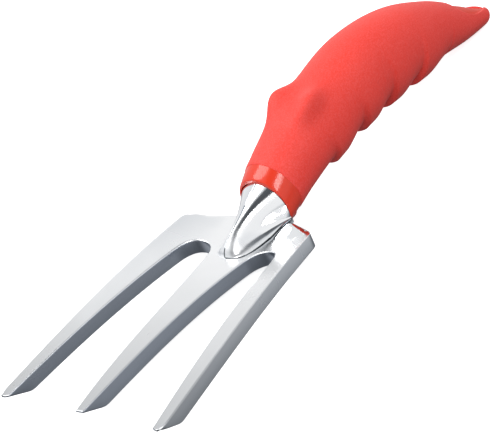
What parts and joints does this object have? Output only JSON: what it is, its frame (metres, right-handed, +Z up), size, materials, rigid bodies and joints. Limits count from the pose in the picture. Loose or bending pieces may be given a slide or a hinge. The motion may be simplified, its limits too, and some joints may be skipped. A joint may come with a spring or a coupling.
{
  "type": "three-tine garden hand fork",
  "caption": "Hand fork with a dished three-tine cast metal head, a hard plastic handle core and a soft contoured grip skin.",
  "frame": {"origin": "middle of the footprint, on the surface the fork lies on", "axes": "+X from the tine tips to the tail of the handle, +Z up on the thumb side, Y across the tines"},
  "size_m": [0.3014, 0.097, 0.0502],
  "materials": {
    "cast_aluminium": "polished casting, satin top faces",
    "hard_plastic": "glossy",
    "soft_skin": "matte, fine grain"
  },
  "bodies": {
    "root": {"fork_head": "cast_aluminium", "handle_core": "hard_plastic", "grip_skin": "soft_skin"}
  },
  "joints": []
}
